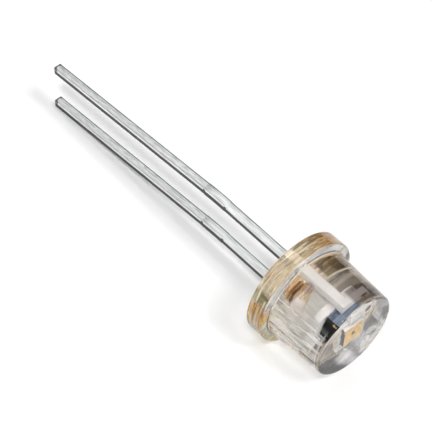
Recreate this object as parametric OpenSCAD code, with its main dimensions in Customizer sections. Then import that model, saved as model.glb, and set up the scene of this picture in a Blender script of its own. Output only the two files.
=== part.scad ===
// Avalanche photodiode in a clear 5 mm through-hole package with a flat window.
// Every piece is drawn upright, standing on its seating face at z = 0, with the window up, the
// leads down and the cathode lead on the +x side. lying() then turns the whole part over on to the
// flat of its flange, as it rests on a table: +X points out of the window and +Z is up.

/* [Epoxy body] */
// Diameter of the body where it leaves the flange
body_d = 5; // [4.2:0.1:8]
// Height from the seating face to the window
body_h = 4.3; // [3.6:0.1:9]
// Angle that the body's wall leans inwards by, so that it draws from its mould
draft = 2.6; // [0.5:0.1:4]
// How far the flange stands out from the body
flange_step = 0.45; // [0.3:0.05:1]
// Thickness of the flange
flange_t = 1; // [0.6:0.05:1.2]
// How far the flat of the flange stands out from the body
flat_step = 0.05; // [0:0.01:0.2]
// Radius of the edge round the window
window_edge_r = 0.12; // [0.05:0.01:0.3]
// Radius of the fillet between body and flange
root_r = 0.1; // [0.05:0.01:0.12]
// Radius of the flange's two rims
rim_r = 0.08; // [0.04:0.01:0.2]

/* [Leads] */
// Distance between the centres of the two leads
pitch = 2.54; // [2.4:0.02:2.7]
// Width of each lead in the plane of the two
lead_w = 0.45; // [0.35:0.01:0.55]
// Thickness of the sheet that the leads are stamped from
sheet_t = 0.45; // [0.3:0.01:0.55]
// Radius along the four edges of each lead
lead_edge_r = 0.06; // [0.02:0.01:0.1]
// Length of each lead from the seating face to its tie bar land
inner_len = 4.55; // [3:0.05:8]
// Length of each lead from its tie bar land to its tip
outer_len = 11.45; // [6:0.05:22]
// Radius that both leads are bent to along the land
bend_r = 17; // [5:1:25]
// How far the sheared tie bar land stands out on each side
tie_step = 0.03; // [0.01:0.01:0.08]
// Radius of the corners at each tip, seen from either side
tip_r = 0.15; // [0.05:0.01:0.16]

/* [Lead frame] */
// Gap between the chip pad, at the head of the cathode lead, and the anode post
pad_gap = 0.1; // [0.05:0.01:0.2]
// Thickness of the chip pad
pad_t = 0.42; // [0.3:0.01:0.6]
// Radius of the chip pad's corners
pad_r = 0.3; // [0.1:0.05:0.5]
// Gap between the cathode flag and the anode post
frame_gap = 0.18; // [0.1:0.01:0.3]
// Height of the cathode flag, from its lower edge to the chip pad
flag_h = 1; // [0.5:0.05:1.1]
// Distance from the axis to the inner edge of the cathode post
post_x = 0.79; // [0.5:0.01:0.9]
// Lower edge of the anchor tab on the cathode post
tab_z = 0.6; // [0.3:0.05:0.7]
// Height of the anchor tab
tab_h = 0.37; // [0.2:0.01:0.6]
// Distance from the axis to the end of the anchor tab
tab_x = 0.1; // [0:0.05:0.5]
// Cut on the outer corner of the cathode flag
shoulder = 0.4; // [0.1:0.05:0.5]
// Depth of the anode head below the window
head_depth = 0.7; // [0.6:0.01:0.75]
// Thickness of the anode head
head_t = 0.35; // [0.2:0.01:0.38]
// Width of the anode head in the plane of the two leads
head_w = 0.55; // [0.45:0.01:0.6]
// How far the anode head reaches out of that plane
head_reach = 1.15; // [0.95:0.05:1.3]

/* [Chip] */
// Side of the square chip
chip_w = 1.2; // [1:0.05:1.3]
// How far the chip is set off the axis, towards the anode
chip_shift = 0.2; // [0:0.05:0.2]
// Thickness of the chip
chip_t = 0.675; // [0.6:0.005:0.75]
// Depth of the chip's face below the window
chip_depth = 0.45; // [0.4:0.01:0.6]
// Thickness of the adhesive under the chip
attach_t = 0.03; // [0.02:0.01:0.06]
// How far the adhesive shows all round the chip
attach_rim = 0.05; // [0.02:0.01:0.08]

/* [Bond wire] */
// Diameter of the bond wire
wire_d = 0.03; // [0.02:0.005:0.04]
// Diameter of the ball bond and of the stitch bond
bond_d = 0.1; // [0.06:0.01:0.14]
// Thickness of the two bonds
bond_t = 0.03; // [0.03:0.005:0.04]
// Height of the wire's loop over the straight line between its bonds
loop_h = 0.2; // [0.1:0.01:0.3]
// Distance of the ball bond from each of the chip's nearer edges
ball_inset = 0.2; // [0.1:0.01:0.3]
// Distance of the stitch bond from the end of the anode head
stitch_inset = 0.25; // [0.1:0.01:0.3]

/* [Hidden] */
$fn = 96;
over = 1; // how far a cutting shape runs past what it cuts
lap = 0.1; // how far a lead's outer length runs back into its land, so that they are one solid

flange_d = body_d + 2 * flange_step;
flat_d = body_d / 2 + flat_step; // from the axis to the flat
function wall_r(z) = body_d / 2 - (z - flange_t) * tan(draft);

// Levels over the seating face
chip_top = body_h - chip_depth;
chip_z = chip_top - chip_t;
pad_top = chip_z - attach_t;
pad_z = pad_top - pad_t;
head_top = body_h - head_depth;
head_z = head_top - head_t;
tab_top = tab_z + tab_h;

// Lead frame, in the plane of the two leads
lead_in = pitch / 2 - lead_w / 2;
lead_out = pitch / 2 + lead_w / 2;
flag_in = lead_in - frame_gap;
flag_z = pad_z - flag_h;
shoulder_x = lead_out - shoulder;
pad_w = 2 * (lead_in - pad_gap);

// The chip is set off the axis only as far as leaves its adhesive on the pad.
chip_off = max(0, min(chip_shift, (pad_w - chip_w) / 2 - attach_rim));

// Both leads are bent by the angle that brings the corner of the cathode's tip level with the
// flat of the flange, so that the part rests on the two of them with its axis level.
tip_arm = outer_len - tip_r;
side_arm = lead_w / 2 - tip_r - bend_r;
tip_drop = flat_d - pitch / 2 - bend_r - tip_r;
bend_a = asin(tip_drop / norm([tip_arm, side_arm])) - atan2(side_arm, tip_arm);

// Bond wire: one arc, seen from the side, that starts and ends inside its two bonds
ball_at = [-chip_off - (chip_w / 2 - ball_inset), chip_w / 2 - ball_inset];
stitch_at = [-pitch / 2, head_reach - stitch_inset];
wire_az = atan2(stitch_at[1] - ball_at[1], stitch_at[0] - ball_at[0]);
wire_span = norm(stitch_at - ball_at);
wire_fall = chip_top - head_top;
wire_chord = norm([wire_span, wire_fall]);
wire_r = pow(wire_chord, 2) / (8 * loop_h) + loop_h / 2;
wire_half = asin(wire_chord / 2 / wire_r);

// Lays the upright part on the flat of its flange, with the middle of the flat at the origin.
module lying() {
    translate([-flange_t / 2, 0, flat_d]) rotate([0, 90, 0]) children();
}

// Epoxy body

module body_section() {
    edge_z = body_h - window_edge_r;
    edge_x = wall_r(edge_z) - window_edge_r / cos(draft);
    root_z = flange_t + root_r;
    root_x = wall_r(root_z) + root_r / cos(draft);
    wall_dir = [cos(draft), sin(draft)];
    polygon([
        [0, 0], [flange_d / 2 - rim_r, 0], [flange_d / 2, rim_r], [flange_d / 2, flange_t - rim_r],
        [flange_d / 2 - rim_r, flange_t], [body_d / 2, flange_t],
        [edge_x, edge_z] + window_edge_r * wall_dir, [edge_x, body_h], [0, body_h]
    ]);
    for (z = [rim_r, flange_t - rim_r]) translate([flange_d / 2 - rim_r, z]) circle(rim_r);
    translate([edge_x, edge_z]) circle(window_edge_r);
    difference() {
        polygon([
            [body_d / 2 - root_r, flange_t - rim_r], [root_x, flange_t - rim_r], [root_x, root_z],
            [root_x, root_z] - root_r * wall_dir, [body_d / 2 - root_r, root_z - root_r * sin(draft)]
        ]);
        translate([root_x, root_z]) circle(root_r);
    }
}

module epoxy_body() {
    color([0.95, 0.92, 0.84, 0.4]) lying() difference() {
        rotate_extrude() body_section();
        translate([flat_d, -flange_d, -over]) cube([flange_d, 2 * flange_d, flange_t + root_r + over]);
        cathode_shape();
        anode_shape();
        chip_shape();
        attach_shape();
        wire_shape();
    }
}

// Leads

// A rectangle with rounded corners, centred on its middle.
module rounded_rect(w, h, r) {
    square([w - 2 * r, h], center = true);
    square([w, h - 2 * r], center = true);
    for (x = [-1, 1], y = [-1, 1]) translate([x * (w / 2 - r), y * (h / 2 - r)]) circle(r);
}

// One lead: its inner length up to top_z, the bent tie bar land, and the outer length to the tip.
module lead_shape(x, top_z) {
    translate([x, 0, -inner_len]) linear_extrude(inner_len + top_z)
        rounded_rect(lead_w, sheet_t, lead_edge_r);
    translate([x + bend_r, 0, -inner_len]) rotate([90, 0, 0]) rotate([0, 0, 180])
        rotate_extrude(angle = bend_a) translate([bend_r, 0])
            rounded_rect(lead_w + 2 * tie_step, sheet_t, lead_edge_r);
    translate([x + bend_r * (1 - cos(bend_a)), 0, -inner_len - bend_r * sin(bend_a)])
        rotate([0, -bend_a, 0]) intersection() {
            translate([0, 0, -outer_len]) linear_extrude(outer_len + lap)
                rounded_rect(lead_w, sheet_t, lead_edge_r);
            rotate([90, 0, 0]) linear_extrude(2 * sheet_t, center = true) tip_outline(lead_w);
            rotate([90, 0, 90]) linear_extrude(2 * lead_w, center = true) tip_outline(sheet_t);
        }
}

module tip_outline(w) {
    end_w = w - 2 * tip_r;
    translate([-w / 2, -outer_len + tip_r]) square([w, outer_len + lap - tip_r]);
    translate([-end_w / 2, -outer_len]) square([end_w, tip_r]);
    for (s = [-1, 1]) translate([s * end_w / 2, -outer_len + tip_r]) circle(tip_r);
}

// A piece of the sheet, from its outline in the plane of the two leads.
module stamped(points) {
    rotate([90, 0, 0]) linear_extrude(sheet_t, center = true) polygon(points);
}

// The cathode lead ends in a flag with an anchor tab, and its head is coined into the chip pad.
module cathode_shape() {
    lead_shape(pitch / 2, tab_z);
    stamped([
        [lead_out, tab_z], [lead_out, pad_z - shoulder], [shoulder_x, pad_z], [-flag_in, pad_z],
        [-flag_in, flag_z], [post_x, flag_z], [post_x, tab_top], [tab_x, tab_top], [tab_x, tab_z]
    ]);
    translate([0, 0, pad_z]) linear_extrude(pad_t) rounded_rect(pad_w, pad_w, pad_r);
}

// The anode lead ends in a post whose head is coined out to one side for the bond wire.
module anode_shape() {
    lead_shape(-pitch / 2, head_z);
    translate([-pitch / 2 - head_w / 2, -sheet_t / 2, head_z])
        cube([head_w, head_reach + sheet_t / 2, head_t]);
}

module cathode_lead() {
    color("silver") lying() cathode_shape();
}

module anode_lead() {
    color("silver") lying() anode_shape();
}

// Chip and wire

module chip_shape() {
    translate([-chip_off - chip_w / 2, -chip_w / 2, chip_z]) cube([chip_w, chip_w, chip_t]);
}

module attach_shape() {
    side = chip_w + 2 * attach_rim;
    translate([-chip_off - side / 2, -side / 2, pad_top]) cube([side, side, attach_t]);
}

module wire_shape() {
    translate([ball_at[0], ball_at[1], chip_top]) rotate([0, 0, wire_az]) {
        cylinder(h = bond_t, d = bond_d);
        translate([wire_span, 0, -wire_fall]) cylinder(h = bond_t, d = bond_d);
        translate([0, 0, bond_t / 2]) rotate([0, atan2(wire_fall, wire_span), 0])
            translate([wire_chord / 2, 0, loop_h - wire_r]) rotate([90, 0, 0])
                rotate([0, 0, 90 - wire_half]) rotate_extrude(angle = 2 * wire_half)
                    translate([wire_r, 0]) circle(d = wire_d);
    }
}

module photodiode_chip() {
    color("goldenrod") lying() chip_shape();
}

module die_attach() {
    color("dimgray") lying() attach_shape();
}

module bond_wire() {
    color("gold") lying() wire_shape();
}

epoxy_body();
cathode_lead();
anode_lead();
photodiode_chip();
die_attach();
bond_wire();
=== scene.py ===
"""An avalanche photodiode in a clear flat-topped package, lying on the flat of its flange.

Everything is in metres in the frame of the CAD model: +X points out of the window, +Z is up, and the
origin is the middle of the flange's flat, on the floor. Sizes are written in millimetres times MM.
"""

import math

import bmesh
import bpy
from mathutils import Matrix, Vector

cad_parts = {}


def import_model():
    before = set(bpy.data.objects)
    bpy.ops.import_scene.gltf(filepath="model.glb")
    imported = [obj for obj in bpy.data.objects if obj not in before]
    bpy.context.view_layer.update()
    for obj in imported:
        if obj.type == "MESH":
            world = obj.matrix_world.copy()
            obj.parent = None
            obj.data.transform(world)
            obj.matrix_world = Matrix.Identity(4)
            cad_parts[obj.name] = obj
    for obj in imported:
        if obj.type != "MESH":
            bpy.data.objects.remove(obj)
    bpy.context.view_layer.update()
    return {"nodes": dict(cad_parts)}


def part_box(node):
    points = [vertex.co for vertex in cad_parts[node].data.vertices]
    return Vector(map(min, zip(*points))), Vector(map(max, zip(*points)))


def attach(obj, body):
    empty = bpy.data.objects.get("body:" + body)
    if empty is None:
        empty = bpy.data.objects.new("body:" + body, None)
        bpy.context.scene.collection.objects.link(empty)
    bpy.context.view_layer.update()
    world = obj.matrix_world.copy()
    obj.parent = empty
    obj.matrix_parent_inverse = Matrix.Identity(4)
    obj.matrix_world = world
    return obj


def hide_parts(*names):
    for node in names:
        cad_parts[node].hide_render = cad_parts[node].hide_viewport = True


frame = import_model()

MM = 0.001

# Where the seating face, the window and the lead tips lie along the part, from the CAD model
SEAT_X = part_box("epoxy_body")[0].x
WINDOW_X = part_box("epoxy_body")[1].x
TIP_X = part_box("cathode_lead")[0].x

# The clear body, as the CAD model draws it
BODY_R = 2.5 * MM
BODY_H = WINDOW_X - SEAT_X
DRAFT = math.radians(2.6)
FLANGE_R = 2.95 * MM
FLANGE_T = 1.0 * MM
FLAT_D = 2.55 * MM
WINDOW_EDGE_R = 0.12 * MM
ROOT_R = 0.1 * MM
RIM_R = 0.08 * MM
FRONT_X = SEAT_X + FLANGE_T

# Its mesh: the steps of a full turn and of a rounded edge, and the strip beside each rounded edge
TURN_STEPS = 240
EDGE_STEPS = 8
STRIP = 0.03 * MM

# The leads, as the CAD model draws them, and the width of their broken edges
PITCH = 2.54 * MM
LEAD_W = 0.45 * MM
LAND_X = -5.8 * MM
LAND_ENDS = (-6.54 * MM, -5.05 * MM)
LEAD_BEND = math.radians(5.02)
BROKEN_EDGE = 0.035 * MM

# Small marks: the stitch bond, a painted lilac reflection on the body, a painted glint on the chip's near
# wall (x and z only), and the radius of the active area
STITCH = (3.1 * MM, 0.9 * MM, 3.82 * MM)
LILAC_REFLECTION = (1.4 * MM, -0.97 * MM, 4.8 * MM)
CHIP_GLINT = (3.2 * MM, 3.18 * MM)
ACTIVE_R = 0.09 * MM

# Colours that are used more than once
WHITE = (1.0, 1.0, 1.0)
# The white of the painted highlights in the epoxy
HIGHLIGHT_WHITE = (0.95, 0.94, 0.92)
STRAW = (1.0, 0.88, 0.66)
# The near black of the painted shade on the leads
PAINTED_TIN_SHADE = (0.06, 0.063, 0.06)

# The epoxy: its index, the share of a shadow ray that it lets through, and its absorption per metre
EPOXY_IOR = 1.56
EPOXY_SHADOW = 0.6
EPOXY_DENSITY = 50

# Camera
LOOK_AT = Vector((FRONT_X, 0, FLAT_D))
CAMERA_ELEVATION = math.radians(52.4)
CAMERA_AZIMUTH = math.radians(44.25)
CAMERA_ROLL = math.radians(4.18)
CAMERA_DISTANCE = 100 * MM
CAMERA_OFFSET = Vector((-4.271, 3.477)) * MM
SENSOR = 36.0
LENS = 175.5

# The dome of the sky, from its low strength at the first height to its high one at the second
SKY_STRENGTHS = (0.025, 0.13)
SKY_HEIGHTS = (0.1, 0.6)

# Lobes of light in it: the way to each, its strength, and the cosines where it ends and where it is full
KEY = ((0.65, 0.17, 1.1), 23.5, (0.985, 0.997))
TOP = ((0.3, -0.35, 1.0), 49.0, (0.993, 0.9985))
BACK = ((-0.35, 0.42, 0.9), 1.05, (0.86, 0.97))
SIDE = ((-0.58, -0.42, 0.7), 0.65, (0.9, 0.98))
FILL = ((0.45, -1.0, 0.6), 1.0, (0.86, 0.97))

# The floor
FLOOR_COLOUR = (0.93, 0.93, 0.93)
FLOOR_LIFT = 0.01
FLOOR_R = 150 * MM
FLOOR_Z = -0.004 * MM


# Meshes


def add_mesh(name, bm, material):
    mesh = bpy.data.meshes.new(name)
    bm.to_mesh(mesh)
    bm.free()
    mesh.materials.append(material)
    piece = bpy.data.objects.new(name, mesh)
    bpy.context.scene.collection.objects.link(piece)
    return piece


def arc(centre, radius, start, end, steps):
    """Points of an arc in the plane of a lathe's outline, from one angle to another, in degrees."""
    angles = [math.radians(start + (end - start) * i / steps) for i in range(steps + 1)]
    return [(centre[0] + radius * math.cos(a), centre[1] + radius * math.sin(a)) for a in angles]


def wall_radius(height):
    return BODY_R - (height - FLANGE_T) * math.tan(DRAFT)


def body_outline():
    """The outline of the clear body as (radius, height over the seating face) points, from axis to axis."""
    lean = math.degrees(DRAFT)
    edge_z = BODY_H - WINDOW_EDGE_R
    edge = (wall_radius(edge_z) - WINDOW_EDGE_R / math.cos(DRAFT), edge_z)
    root_z = FLANGE_T + ROOT_R
    root = (wall_radius(root_z) + ROOT_R / math.cos(DRAFT), root_z)
    rim = FLANGE_R - RIM_R
    points = [(0, 0), (rim - 10 * STRIP, 0), (rim - STRIP, 0)]
    points += arc((rim, RIM_R), RIM_R, -90, 0, EDGE_STEPS)
    points += [(FLANGE_R, RIM_R + STRIP), (FLANGE_R, FLANGE_T - RIM_R - STRIP)]
    points += arc((rim, FLANGE_T - RIM_R), RIM_R, 0, 90, EDGE_STEPS)
    points += [(rim - STRIP, FLANGE_T), (root[0] + STRIP, FLANGE_T)]
    points += arc(root, ROOT_R, 270, 180 + lean, EDGE_STEPS)
    points += [(wall_radius(z), z) for z in (root_z + STRIP, edge_z - STRIP)]
    points += arc(edge, WINDOW_EDGE_R, lean, 90, EDGE_STEPS + 2)
    points += [(edge[0] - STRIP, BODY_H), (edge[0] - 10 * STRIP, BODY_H), (0, BODY_H)]
    return points


def lathe(outline, steps):
    """A closed surface turned about the body's axis, from an outline that starts and ends on it."""
    bm = bmesh.new()
    rings = []
    for radius, height in outline:
        x = SEAT_X + height
        if radius == 0:
            rings.append([bm.verts.new((x, 0, FLAT_D))])
            continue
        angles = [math.tau * i / steps for i in range(steps)]
        rings.append([bm.verts.new((x, radius * math.sin(a), FLAT_D - radius * math.cos(a))) for a in angles])
    for low, high in zip(rings, rings[1:]):
        for i in range(steps):
            j = (i + 1) % steps
            corners = [low[i % len(low)], low[j % len(low)], high[j % len(high)], high[i % len(high)]]
            bm.faces.new(list(dict.fromkeys(corners)))
    return bm


def cut_flat(bm):
    """Cuts the flange off at the floor and closes it with the flat."""
    everything = bm.verts[:] + bm.edges[:] + bm.faces[:]
    cut = bmesh.ops.bisect_plane(
        bm, geom=everything, plane_co=(0, 0, 0), plane_no=(0, 0, -1), clear_outer=True
    )
    rim = [e for e in cut["geom_cut"] if isinstance(e, bmesh.types.BMEdge)]
    bmesh.ops.holes_fill(bm, edges=rim)
    bmesh.ops.recalc_face_normals(bm, faces=bm.faces)


def shade_smooth(bm):
    """Shades all faces smooth, apart from edges that turn by 30 degrees or more."""
    for face in bm.faces:
        face.smooth = True
    for edge in bm.edges:
        edge.smooth = edge.calc_face_angle(0) < math.radians(30)


def epoxy_body():
    bm = lathe(body_outline(), TURN_STEPS)
    cut_flat(bm)
    shade_smooth(bm)
    piece = add_mesh("clear_body", bm, clear_epoxy())
    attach(piece, "root")
    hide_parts("epoxy_body")
    return piece


def round_edges(cad, width):
    """Breaks the sharp edges of a stamping, so that they catch the light."""
    weld = cad.modifiers.new("weld", "WELD")
    weld.merge_threshold = 0.0005 * MM
    bevel = cad.modifiers.new("edges", "BEVEL")
    bevel.width = width
    bevel.segments = 2
    bevel.limit_method = "ANGLE"
    bevel.angle_limit = math.radians(40)


def carried_over(node, material):
    """Gives a piece of the CAD model its material."""
    cad = frame["nodes"][node]
    cad.data.materials.clear()
    cad.data.materials.append(material)
    return cad


def leads():
    plating = lead_plating()
    for node in ("cathode_lead", "anode_lead"):
        round_edges(carried_over(node, plating), BROKEN_EDGE)


# Shader nodes


class Shader:
    """The node tree of a material or a world, with short calls to add and join nodes."""

    def __init__(self, owner, output="ShaderNodeOutputMaterial"):
        self.owner = owner
        owner.use_nodes = True
        self.tree = owner.node_tree
        self.tree.nodes.clear()
        self.out = self.add(output)

    def add(self, kind, inputs=None, **settings):
        node = self.tree.nodes.new(kind)
        for key, value in settings.items():
            setattr(node, key, value)
        for key, value in (inputs or {}).items():
            self.join(value, node.inputs[key])
        return node

    def join(self, value, socket):
        """Links a socket, or sets its value. Colours are written as three numbers."""
        if isinstance(value, bpy.types.NodeSocket):
            self.tree.links.new(value, socket)
        elif socket.type == "RGBA":
            socket.default_value = (*value, 1)
        else:
            socket.default_value = value

    def show(self, node):
        self.join(node.outputs[0], self.out.inputs["Surface"])


def material_shader(name):
    return Shader(bpy.data.materials.new(name))


def principled(name, **values):
    """A shader with one Principled surface, and that surface."""
    shader = material_shader(name)
    surface = shader.add("ShaderNodeBsdfPrincipled", values)
    shader.show(surface)
    return shader, surface


def position(shader):
    return shader.add("ShaderNodeTexCoord").outputs["Object"]


def split(shader, vector):
    return shader.add("ShaderNodeSeparateXYZ", {0: vector}).outputs


def normal(shader):
    return split(shader, shader.add("ShaderNodeNewGeometry").outputs["Normal"])


def dot(shader, vector, other):
    return shader.add("ShaderNodeVectorMath", {0: vector, 1: other}, operation="DOT_PRODUCT").outputs["Value"]


def combine(shader, operation, *values):
    return shader.add("ShaderNodeMath", dict(enumerate(values)), operation=operation).outputs[0]


def either(shader, first, *others):
    """The greatest of some shares."""
    for other in others:
        first = combine(shader, "MAXIMUM", first, other)
    return first


def both(shader, first, *others):
    """The product of some shares."""
    for other in others:
        first = combine(shader, "MULTIPLY", first, other)
    return first


def noise(shader, where, waves, detail=3.0, distortion=0.0):
    """A soft noise, from 0 to 1, with so many waves in a millimetre along each axis."""
    scale = [count / MM for count in waves]
    stretched = shader.add("ShaderNodeVectorMath", {0: where, 1: scale}, operation="MULTIPLY").outputs[0]
    inputs = {"Vector": stretched, "Scale": 1, "Detail": detail, "Distortion": distortion}
    return shader.add("ShaderNodeTexNoise", inputs).outputs[0]


def share(shader, value, start, end, result=(0.0, 1.0)):
    """Goes smoothly from one result to the other while a value goes from start to end."""
    inputs = {"Value": value, "From Min": start, "From Max": end, "To Min": result[0], "To Max": result[1]}
    return shader.add("ShaderNodeMapRange", inputs, interpolation_type="SMOOTHSTEP").outputs[0]


def fall(shader, value, start, end):
    """One below start, and nought above end."""
    return share(shader, value, start, end, (1.0, 0.0))


def band(shader, value, start, end, blur):
    """One between start and end, and nought outside them."""
    return both(shader, share(shader, value, start - blur, start), fall(shader, value, end, end + blur))


def close_to(shader, where, place, near, far):
    """One closer than near to a place, and nought further than far from it."""
    reach = shader.add("ShaderNodeVectorMath", {0: where, 1: place}, operation="DISTANCE")
    return fall(shader, reach.outputs["Value"], near, far)


def blend(shader, amount, first, second):
    """Goes from the first colour to the second while an amount goes from nought to one."""
    return shader.add("ShaderNodeMix", {0: amount, 6: first, 7: second}, data_type="RGBA").outputs[2]


def ramp(shader, value, low, high, ends):
    """Blends between two colours while a value goes from low to high."""
    return blend(shader, share(shader, value, low, high), *ends)


def relief(shader, height, distance, surface):
    """Gives a surface the relief of a noise."""
    bump = shader.add("ShaderNodeBump", {"Strength": 1.0, "Distance": distance, "Height": height})
    shader.join(bump.outputs[0], surface.inputs["Normal"])


# The epoxy: where its marks lie


def roof(shader, where):
    """One on the far side of the body's upper wall, and nought elsewhere."""
    place = split(shader, where)
    aside = share(shader, place["Y"], -0.1 * MM, 0.15 * MM)
    return both(shader, aside, share(shader, place["Z"], 2.9 * MM, 3.2 * MM))


def near_flange(shader, where, low, high):
    """One on the near side of the flange's wall between two heights, and nought elsewhere."""
    place = split(shader, where)
    near = fall(shader, place["Y"], -1.2 * MM, -0.7 * MM)
    return both(shader, near, band(shader, place["Z"], low, high, 0.3 * MM))


def at_window(shader, x):
    """One in the window and in its edge, and nought behind them."""
    return share(shader, x, WINDOW_X - 0.1 * MM, WINDOW_X - 0.02 * MM)


def painted_rim_highlights(shader, where):
    """Painted highlight lines along the mould's edges: both rims of the flange and the root of the body."""
    x = split(shader, where)["X"]
    back = band(shader, x, SEAT_X + 0.02 * MM, SEAT_X + 0.05 * MM, 0.02 * MM)
    front = band(shader, x, FRONT_X - 0.05 * MM, FRONT_X - 0.02 * MM, 0.02 * MM)
    root = band(shader, x, FRONT_X + 0.05 * MM, FRONT_X + 0.08 * MM, 0.02 * MM)
    return either(shader, back, front, root)


def painted_far_highlight(shader, where):
    """A painted highlight line round the far side of the body."""
    x = split(shader, where)["X"]
    return both(shader, band(shader, x, 1.67 * MM, 1.71 * MM, 0.02 * MM), roof(shader, where))


def painted_streaks(shader, where):
    """Painted highlight and dark streaks round the flange and along the near lower wall, with painted light
    in the flange's near wall: where they are pale, and where dark.
    """
    place = split(shader, where)
    near = fall(shader, place["Y"], -2.1 * MM, -1.5 * MM)
    wall = both(shader, near, band(shader, place["X"], 0.62 * MM, 3.6 * MM, 0.1 * MM))
    flange = band(shader, place["X"], SEAT_X + 0.05 * MM, FRONT_X, 0.01 * MM)
    along = noise(shader, where, (0.4, 5.5, 5.5), 4, 0.8)
    around = noise(shader, where, (7.0, 0.6, 0.6), 4, 1.0)
    # Painted light in the near wall of the flange: cream high up, amber lower down
    cream = both(shader, near_flange(shader, where, 4.4 * MM, 5.2 * MM), 0.65)
    amber = both(shader, near_flange(shader, where, 0.2 * MM, 3.5 * MM), 0.75)
    flange_painted_light = either(shader, share(shader, around, 0.52, 0.56, (0.0, 0.9)), cream, amber)
    root = band(shader, place["X"], FRONT_X - 0.01 * MM, FRONT_X + 0.06 * MM, 0.01 * MM)
    pale = either(
        shader,
        both(shader, wall, share(shader, along, 0.52, 0.56, (0.2, 0.95))),
        both(shader, flange, flange_painted_light),
        both(shader, root, share(shader, place["Z"], 3.0 * MM, 3.5 * MM, (0.0, 0.4))),
        both(shader, near, band(shader, place["X"], 3.5 * MM, 3.54 * MM, 0.02 * MM)),
    )
    dark = either(
        shader,
        both(shader, wall, band(shader, along, 0.5, 0.53, 0.015)),
        both(shader, flange, band(shader, around, 0.49, 0.52, 0.015), 0.8),
        both(shader, near, band(shader, place["X"], 3.58 * MM, 3.63 * MM, 0.02 * MM)),
    )
    return pale, dark


def window_painted_highlight(shader, where):
    """A broken painted highlight at the right of the window."""
    place = split(shader, where)
    cloud = noise(shader, where, (1.6, 1.6, 1.6), 4, 1.2)
    return both(
        shader,
        band(shader, place["Y"], 0.6 * MM, 2.3 * MM, 0.2 * MM),
        band(shader, place["Z"], 0.7 * MM, 2.4 * MM, 0.2 * MM),
        at_window(shader, place["X"]),
        share(shader, cloud, 0.44, 0.54, (0.2, 0.95)),
    )


# The epoxy: its colours


def straw_tint_and_painted_light(shader, where, streaks):
    """Straw streaks in the flange, with painted shade that makes it browner toward the far side and darker
    low down, and painted light in orange and olive patches on its near side.
    """
    place = split(shader, where)
    straw = ramp(shader, streaks, 0.44, 0.55, ((1.0, 0.66, 0.26), (1.0, 0.93, 0.74)))
    straw = ramp(shader, streaks, 0.4, 0.46, ((0.26, 0.17, 0.06), straw))
    brown = ramp(shader, streaks, 0.42, 0.54, ((0.3, 0.15, 0.05), (0.9, 0.58, 0.28)))
    deeper_far_shade = ramp(shader, streaks, 0.42, 0.54, ((0.3, 0.11, 0.02), (0.8, 0.36, 0.1)))
    orange = ramp(shader, streaks, 0.44, 0.54, ((0.9, 0.36, 0.06), (1.0, 0.72, 0.28)))
    olive = ramp(shader, streaks, 0.4, 0.55, ((0.14, 0.13, 0.05), (0.5, 0.46, 0.26)))
    tint = ramp(shader, place["Y"], 0.1 * MM, 0.5 * MM, (straw, brown))
    tint = ramp(shader, place["Y"], 1.0 * MM, 1.4 * MM, (tint, deeper_far_shade))
    tint = ramp(shader, place["Z"], 1.9 * MM, 2.3 * MM, ((0.42, 0.38, 0.2), tint))
    tint = blend(shader, near_flange(shader, where, 2.3 * MM, 3.5 * MM), tint, orange)
    return blend(shader, near_flange(shader, where, 3.85 * MM, 4.15 * MM), tint, olive)


def seat_skin_and_painted_shade(shader, where):
    """The skin of the seating face: patchy, dimmed toward the floor by painted shade, greyer at the right,
    with a near black painted shadow by the floor.
    """
    place = split(shader, where)
    patches = noise(shader, where, (1.3, 1.3, 1.3), 2, 0.5)
    dim = ramp(shader, place["Z"], 1.0 * MM, 2.2 * MM, ((0.12, 0.12, 0.13), (0.5, 0.47, 0.43)))
    skin = ramp(shader, patches, 0.47, 0.6, (dim, (0.85, 0.86, 0.95)))
    right = share(shader, place["Y"], 0.2 * MM, 0.4 * MM)
    right = both(shader, right, fall(shader, place["Z"], 2.7 * MM, 3.1 * MM))
    grey = ramp(shader, patches, 0.47, 0.6, ((0.2, 0.2, 0.17), (0.42, 0.4, 0.47)))
    # A near black painted shadow by the floor
    floor_shadow = band(shader, place["Y"], 0.0, 1.3 * MM, 0.25 * MM)
    floor_shadow = both(shader, floor_shadow, fall(shader, place["Z"], 0.75 * MM, 1.05 * MM))
    skin = blend(shader, right, skin, grey)
    return blend(shader, floor_shadow, skin, (0.01, 0.012, 0.015))


def epoxy_tint_and_painted_shade(shader, where, seat):
    """Straw in the flange, clear in the body, painted shade on the low far side of both, and the skin of the
    seating face.
    """
    x = split(shader, where)["X"]
    streaks = noise(shader, where, (3.5, 0.7, 0.7), 4, 1.0)
    body = share(shader, x, FRONT_X - 0.08 * MM, FRONT_X + 0.12 * MM)
    near = blend(shader, body, straw_tint_and_painted_light(shader, where, streaks), WHITE)
    # Painted shade on the low far side: dimmer straw in the flange, dark grey in the body
    flange_far_shade = ramp(shader, streaks, 0.4, 0.6, ((0.62, 0.5, 0.3), (1.0, 0.92, 0.8)))
    body_far_shade = ramp(shader, streaks, 0.4, 0.6, ((0.18, 0.15, 0.12), (0.42, 0.37, 0.33)))
    beyond = blend(shader, body, flange_far_shade, body_far_shade)
    low_far_side = share(shader, dot(shader, where, (0, 0.75, -0.66)), -2.0 * MM, -0.6 * MM)
    far = both(shader, low_far_side, fall(shader, x, 2.4 * MM, 3.2 * MM))
    return blend(shader, seat, blend(shader, far, near, beyond), seat_skin_and_painted_shade(shader, where))


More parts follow.
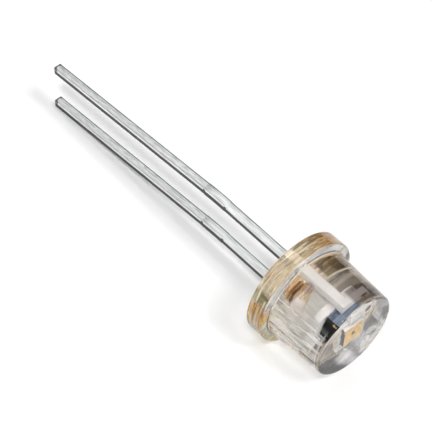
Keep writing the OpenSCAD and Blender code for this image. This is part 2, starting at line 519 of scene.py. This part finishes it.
def painted_far_shade(shader, where, tint):
    """Paints shade on the far side of the body's upper wall in dark bands, and a painted lilac reflection
    beside them.
    """
    x = split(shader, where)["X"]
    top = roof(shader, where)
    clouds = noise(shader, where, (1.6, 1.0, 1.0), 3, 0.8)
    brown = ramp(shader, clouds, 0.4, 0.62, ((0.03, 0.024, 0.017), (0.14, 0.12, 0.075)))
    first = both(shader, top, band(shader, x, 0.7 * MM, 1.6 * MM, 0.06 * MM))
    second = both(shader, top, band(shader, x, 1.75 * MM, 2.7 * MM, 0.05 * MM), 0.5)
    third = both(shader, top, band(shader, x, 2.75 * MM, 3.6 * MM, 0.1 * MM))
    lilac_painted_reflection = close_to(shader, where, LILAC_REFLECTION, 0.22 * MM, 0.36 * MM)
    tint = blend(shader, first, tint, brown)
    tint = blend(shader, second, tint, (0.62, 0.54, 0.48))
    tint = blend(shader, lilac_painted_reflection, tint, (0.5, 0.41, 0.55))
    return blend(shader, third, tint, (0.16, 0.13, 0.12))


def window_painted_reflections(shader, where, tint):
    """Painted reflections in the edge of the window, lilac below and tan at the left, and painted shade, near
    black, in the corner between.
    """
    place = split(shader, where)
    front = at_window(shader, place["X"])
    slant = dot(shader, where, (0, 0.87, 1))
    low = fall(shader, slant, 1.3 * MM, 1.7 * MM)
    low = both(shader, front, low, fall(shader, place["Z"], 0.8 * MM, 1.2 * MM))
    left = fall(shader, place["Y"], -1.3 * MM, -1.0 * MM)
    left = both(shader, front, left, share(shader, place["Z"], 1.7 * MM, 2.2 * MM))
    corner = both(shader, front, fall(shader, slant, 0.1 * MM, 0.55 * MM))
    ragged = noise(shader, where, (1.8, 1.8, 1.8), 4, 1.0)
    lilac = ramp(shader, ragged, 0.42, 0.56, ((0.36, 0.38, 0.42), (0.72, 0.66, 0.8)))
    tan = ramp(shader, ragged, 0.44, 0.54, ((0.5, 0.38, 0.26), (1.0, 0.9, 0.78)))
    tint = blend(shader, low, tint, lilac)
    tint = blend(shader, left, tint, tan)
    return blend(shader, corner, tint, (0.01, 0.014, 0.016))


def painted_amber_light(shader, where):
    """The colour of painted light in stripes round the near side of the flange: orange, and olive below."""
    stripes = noise(shader, where, (6.0, 0.35, 0.35), 2, 0.3)
    orange = ramp(shader, stripes, 0.4, 0.5, ((0.85, 0.3, 0.03), (1.0, 0.62, 0.16)))
    orange = ramp(shader, stripes, 0.52, 0.58, (orange, (1.0, 0.95, 0.82)))
    orange = ramp(shader, stripes, 0.36, 0.42, ((0.3, 0.16, 0.04), orange))
    olive = ramp(shader, stripes, 0.4, 0.5, ((0.3, 0.23, 0.08), (0.7, 0.6, 0.34)))
    olive = ramp(shader, stripes, 0.52, 0.58, (olive, (0.82, 0.73, 0.46)))
    return ramp(shader, split(shader, where)["Z"], 1.9 * MM, 2.3 * MM, (olive, orange))


def painted_highlight_colour(shader, where):
    """The colour of the painted highlights: white, but straw, amber or olive in the flange's wall."""
    place = split(shader, where)
    amber = ramp(shader, place["Y"], 0.6 * MM, 1.1 * MM, (STRAW, (0.7, 0.42, 0.18)))
    amber = blend(shader, near_flange(shader, where, 0.4 * MM, 3.5 * MM), amber, painted_amber_light(shader, where))
    upper = ramp(shader, place["X"], FRONT_X - 0.1 * MM, FRONT_X, (amber, HIGHLIGHT_WHITE))
    lower = ramp(shader, place["X"], FRONT_X + 0.02 * MM, FRONT_X + 0.1 * MM, (amber, HIGHLIGHT_WHITE))
    return blend(shader, near_flange(shader, where, 0.4 * MM, 3.2 * MM), upper, lower)


# Materials


def clear_epoxy():
    """Clear epoxy with painted highlights, painted shade and painted reflections, the faint waves of its
    mould, and a duller seating face.
    """
    shader = material_shader("clear_epoxy")
    where = position(shader)
    seat = combine(shader, "LESS_THAN", split(shader, where)["X"], SEAT_X + 0.004 * MM)
    streak_highlights, dark = painted_streaks(shader, where)
    pale = either(
        shader, painted_rim_highlights(shader, where), streak_highlights, painted_far_highlight(shader, where), window_painted_highlight(shader, where)
    )
    tint = window_painted_reflections(shader, where, painted_far_shade(shader, where, epoxy_tint_and_painted_shade(shader, where, seat)))
    # Painted dark streaks
    tint = blend(shader, dark, tint, (0.2, 0.15, 0.1))
    glass = shader.add("ShaderNodeBsdfPrincipled", {
        "Base Color": blend(shader, pale, tint, painted_highlight_colour(shader, where)),
        "Transmission Weight": share(shader, pale, 0.0, 1.0, (1.0, 0.6)),
        "Roughness": share(shader, seat, 0.0, 1.0, (0.0, 0.12)),
        "IOR": EPOXY_IOR,
        "Specular Tint": (0.5, 0.5, 0.5),
    })
    depth = share(shader, seat, 0.0, 1.0, (0.02 * MM, 0.05 * MM))
    relief(shader, noise(shader, where, (0.7, 2.2, 2.2), 3, 0.6), depth, glass)
    shadow = both(shader, shader.add("ShaderNodeLightPath").outputs["Is Shadow Ray"], EPOXY_SHADOW)
    clear = shader.add("ShaderNodeBsdfTransparent")
    shader.show(shader.add("ShaderNodeMixShader", {0: shadow, 1: glass.outputs[0], 2: clear.outputs[0]}))
    depths = shader.add("ShaderNodeVolumeAbsorption", {"Color": (1.0, 0.93, 0.8), "Density": EPOXY_DENSITY})
    shader.join(depths.outputs[0], shader.out.inputs["Volume"])
    return shader.owner


def lead_height(shader, x, z):
    """Height over the middle line of whichever lead is meant, along its bend."""
    past = combine(shader, "MAXIMUM", combine(shader, "SUBTRACT", LAND_X, x), 0)
    straight = combine(shader, "MULTIPLY_ADD", past, math.tan(LEAD_BEND), z)
    upper = combine(shader, "GREATER_THAN", straight, FLAT_D)
    middle = combine(shader, "MULTIPLY_ADD", upper, PITCH, FLAT_D - PITCH / 2)
    return combine(shader, "SUBTRACT", straight, middle)


def tip_shade_mask(shader, where):
    """Where painted shade outlines a lead's round end, seen from above: high along it, and nought elsewhere.
    """
    level = shader.add("ShaderNodeVectorMath", {0: where, 1: (1, 1, 0)}, operation="MULTIPLY").outputs[0]
    centre = TIP_X + 0.75 * LEAD_W
    inside = close_to(shader, level, (centre, 0, 0), 0.18 * MM, 0.2 * MM)
    inside = either(shader, inside, share(shader, split(shader, where)["X"], centre - 0.04 * MM, centre))
    return share(shader, inside, 0.0, 1.0, (0.8, 0.0))


def tin_and_painted_shade(shader, where, lines):
    """Bright drawn tin with painted shade: grey on the far half of the top, near black along its far edge, in
    the lower half of the rolled sides, higher up them at the ends of the tie-bar land, and round the tips.
    """
    place = split(shader, where)
    height = lead_height(shader, place["X"], place["Z"])
    bright = ramp(shader, lines, 0.35, 0.65, ((0.72, 0.74, 0.73), WHITE))
    soft = ramp(shader, lines, 0.35, 0.65, ((0.52, 0.54, 0.55), (0.9, 0.92, 0.93)))
    top = ramp(shader, place["Y"], -0.08 * MM, 0.06 * MM, (bright, soft))
    top = ramp(shader, place["Y"], 0.12 * MM, 0.18 * MM, (top, PAINTED_TIN_SHADE))
    side = ramp(shader, height, 0.02 * MM, 0.12 * MM, (PAINTED_TIN_SHADE, bright))
    # Painted shade reaches higher up the sides at the ends of the tie-bar land
    land_end_shade = ramp(shader, height, 0.11 * MM, 0.2 * MM, (PAINTED_TIN_SHADE, bright))
    for end in LAND_ENDS:
        cut = band(shader, place["X"], end - 0.05 * MM, end + 0.05 * MM, 0.06 * MM)
        side = blend(shader, cut, side, land_end_shade)
    sideways = combine(shader, "ABSOLUTE", normal(shader)["Y"])
    tin = ramp(shader, sideways, 0.45, 0.75, (top, side))
    return blend(shader, tip_shade_mask(shader, where), tin, PAINTED_TIN_SHADE)


def inner_colour_and_painted_shade(shader, where):
    """Matte silver inside the body, darker on its upward faces with painted shade, with copper left bare on
    the anchor tab and a dark stitch bond.
    """
    place = split(shader, where)
    grain = noise(shader, where, (0.9, 8, 8), 4, 0.4)
    silver = ramp(shader, grain, 0.4, 0.6, ((0.84, 0.83, 0.82), (0.97, 0.96, 0.95)))
    # Painted shade: the upward faces are darker
    silver = ramp(shader, normal(shader)["Z"], 0.5, 0.9, (silver, (0.76, 0.73, 0.71)))
    silver = blend(shader, close_to(shader, where, STITCH, 0.16 * MM, 0.24 * MM), silver, (0.12, 0.07, 0.04))
    rolled = noise(shader, where, (7.0, 0.5, 0.5), 2, 0.3)
    copper = ramp(shader, rolled, 0.4, 0.5, ((0.1, 0.04, 0.01), (0.68, 0.38, 0.14)))
    copper = ramp(shader, rolled, 0.52, 0.6, (copper, (0.8, 0.66, 0.5)))
    tab = ramp(shader, place["X"], 0.45 * MM, 0.52 * MM, (copper, silver))
    tab = ramp(shader, place["X"], 0.0, 0.1 * MM, (silver, tab))
    tab = ramp(shader, place["Z"], 1.9 * MM, 2.05 * MM, (silver, tab))
    return ramp(shader, place["Z"], 2.6 * MM, 2.7 * MM, (tab, silver))


def lead_plating():
    """Bright tin outside, and duller silver and copper inside the body."""
    shader, surface = principled("tinned_copper")
    where = position(shader)
    x = split(shader, where)["X"]
    lines = noise(shader, where, (1.0, 20, 20), 4)
    finishes = (tin_and_painted_shade(shader, where, lines), inner_colour_and_painted_shade(shader, where))
    plating = ramp(shader, x, SEAT_X - 0.05 * MM, SEAT_X + 0.05 * MM, finishes)
    shader.join(plating, surface.inputs["Base Color"])
    shader.join(share(shader, x, SEAT_X, FRONT_X, (0.44, 0.36)), surface.inputs["Roughness"])
    shader.join(share(shader, x, SEAT_X, FRONT_X, (0.75, 0.1)), surface.inputs["Metallic"])
    relief(shader, lines, 0.003 * MM, surface)
    return shader.owner


def sawn_wall_and_painted_light(shader, where, near_y):
    """Sawn silicon: near black painted shade at the sides with one painted glint, and on top blue, turning to
    a pale painted sheen at a glancing angle.
    """
    saw = noise(shader, where, (9, 1.5, 1.5), 3)
    blue = ramp(shader, saw, 0.4, 0.6, ((0.08, 0.1, 0.14), (0.22, 0.26, 0.33)))
    glance = shader.add("ShaderNodeLayerWeight").outputs["Facing"]
    sheen = ramp(shader, glance, 0.24, 0.3, (blue, (0.7, 0.68, 0.67)))
    glint = close_to(shader, where, (CHIP_GLINT[0], near_y, CHIP_GLINT[1]), 0.07 * MM, 0.1 * MM)
    dark = blend(shader, glint, (0.006, 0.006, 0.006), (0.75, 0.55, 0.3))
    colour = ramp(shader, normal(shader)["Z"], 0.4, 0.6, (dark, sheen))
    inputs = {"Base Color": colour, "Roughness": 0.35, "IOR": 1.6, "Specular IOR Level": 0.05}
    return shader.add("ShaderNodeBsdfPrincipled", inputs)


def gold_face(shader, where, middle):
    """Mottled gold, with the dark spot of the active area in its middle."""
    cloud = noise(shader, where, (4, 4, 4), 4)
    gold = ramp(shader, cloud, 0.35, 0.65, ((0.8, 0.5, 0.17), (1.0, 0.72, 0.32)))
    spot = close_to(shader, where, middle, ACTIVE_R, ACTIVE_R + 0.03 * MM)
    colour = blend(shader, spot, gold, (0.03, 0.02, 0.015))
    return shader.add("ShaderNodeBsdfPrincipled", {"Base Color": colour, "Metallic": 0.45, "Roughness": 0.35})


def gold_chip():
    """Sawn walls all round, and a gold face toward the window."""
    shader = material_shader("silicon_chip")
    where = position(shader)
    low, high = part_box("photodiode_chip")
    wall = sawn_wall_and_painted_light(shader, where, low.y)
    face = gold_face(shader, where, (high.x, (low.y + high.y) / 2, (low.z + high.z) / 2))
    front = share(shader, normal(shader)["X"], 0.5, 0.6)
    shader.show(shader.add("ShaderNodeMixShader", {0: front, 1: wall.outputs[0], 2: face.outputs[0]}))
    return shader.owner


def silver_adhesive():
    """The grey film under the chip, with bright flakes in it and a rough, matte skin."""
    shader, surface = principled("silver_adhesive", Metallic=0.4, Roughness=0.5)
    flakes = noise(shader, position(shader), (14, 14, 14), 3)
    shade = ramp(shader, flakes, 0.45, 0.6, ((0.38, 0.37, 0.36), (0.8, 0.8, 0.81)))
    shader.join(shade, surface.inputs["Base Color"])
    relief(shader, flakes, 0.012 * MM, surface)
    return shader.owner


def gold_wire():
    """Drawn gold, with fine draw lines, a little redder near the stitch."""
    shader, surface = principled("gold_wire", Metallic=1.0, Roughness=0.22)
    where = position(shader)
    lines = noise(shader, where, (20, 3, 20), 3)
    drawn = ramp(shader, lines, 0.4, 0.6, ((0.86, 0.6, 0.22), (1.0, 0.8, 0.42)))
    near_stitch = close_to(shader, where, STITCH, 0.1 * MM, 0.3 * MM)
    shader.join(blend(shader, near_stitch, drawn, (0.72, 0.42, 0.2)), surface.inputs["Base Color"])
    relief(shader, lines, 0.004 * MM, surface)
    return shader.owner


def white_floor():
    """White ground that keeps the part's shadow, lifted a little where it is seen, in glass and metal too."""
    shader = material_shader("white_floor")
    path = shader.add("ShaderNodeLightPath").outputs
    seen = either(shader, path["Is Camera Ray"], path["Is Glossy Ray"], path["Is Transmission Ray"])
    matte = shader.add("ShaderNodeBsdfDiffuse", {"Color": FLOOR_COLOUR})
    glow = shader.add("ShaderNodeEmission", {"Color": WHITE, "Strength": both(shader, seen, FLOOR_LIFT)})
    shader.show(shader.add("ShaderNodeAddShader", {0: matte.outputs[0], 1: glow.outputs[0]}))
    return shader.owner


# The room


def camera():
    toward = Vector((
        math.cos(CAMERA_ELEVATION) * math.sin(CAMERA_AZIMUTH),
        -math.cos(CAMERA_ELEVATION) * math.cos(CAMERA_AZIMUTH),
        math.sin(CAMERA_ELEVATION),
    ))
    level = Vector((math.cos(CAMERA_AZIMUTH), math.sin(CAMERA_AZIMUTH), 0))
    above = toward.cross(level)
    right = math.cos(CAMERA_ROLL) * level + math.sin(CAMERA_ROLL) * above
    up = math.cos(CAMERA_ROLL) * above - math.sin(CAMERA_ROLL) * level
    data = bpy.data.cameras.new("camera")
    data.sensor_fit = "HORIZONTAL"
    data.sensor_width = SENSOR
    data.lens = LENS
    data.clip_start = 1 * MM
    data.clip_end = 10
    place = LOOK_AT + CAMERA_DISTANCE * toward + CAMERA_OFFSET.x * right + CAMERA_OFFSET.y * up
    piece = bpy.data.objects.new("camera", data)
    piece.matrix_world = Matrix.Translation(place) @ Matrix((right, up, toward)).transposed().to_4x4()
    bpy.context.scene.collection.objects.link(piece)
    bpy.context.scene.camera = piece


def floor():
    """A wide disc just under the part, so that the two faces do not lie in one plane."""
    bm = bmesh.new()
    bmesh.ops.create_circle(bm, cap_ends=True, segments=64, radius=FLOOR_R)
    bmesh.ops.translate(bm, vec=(0, 0, FLOOR_Z), verts=bm.verts)
    add_mesh("floor", bm, white_floor())


def sky_lobe(shader, direction, toward, strength, cosines):
    """A soft round light in the sky, gone at the first cosine from its middle and full at the second."""
    nearness = dot(shader, direction, Vector(toward).normalized())
    return share(shader, nearness, *cosines, (0.0, strength))


def world():
    """A soft dome, dark at the horizon, with five lobes of light, and white where the camera sees it."""
    data = bpy.data.worlds.new("world")
    bpy.context.scene.world = data
    shader = Shader(data, "ShaderNodeOutputWorld")
    direction = shader.add("ShaderNodeTexCoord").outputs["Generated"]
    light = share(shader, split(shader, direction)["Z"], *SKY_HEIGHTS, SKY_STRENGTHS)
    for lobe in (KEY, TOP, BACK, SIDE, FILL):
        light = combine(shader, "ADD", light, sky_lobe(shader, direction, *lobe))
    seen = shader.add("ShaderNodeLightPath").outputs["Is Camera Ray"]
    strength = shader.add("ShaderNodeMix", {0: seen, 2: light, 3: 1.0}).outputs[0]
    shader.show(shader.add("ShaderNodeBackground", {"Color": WHITE, "Strength": strength}))


camera()
floor()
world()
epoxy_body()
leads()
carried_over("photodiode_chip", gold_chip())
carried_over("die_attach", silver_adhesive())
carried_over("bond_wire", gold_wire())
bpy.context.scene.view_settings.view_transform = "Standard"
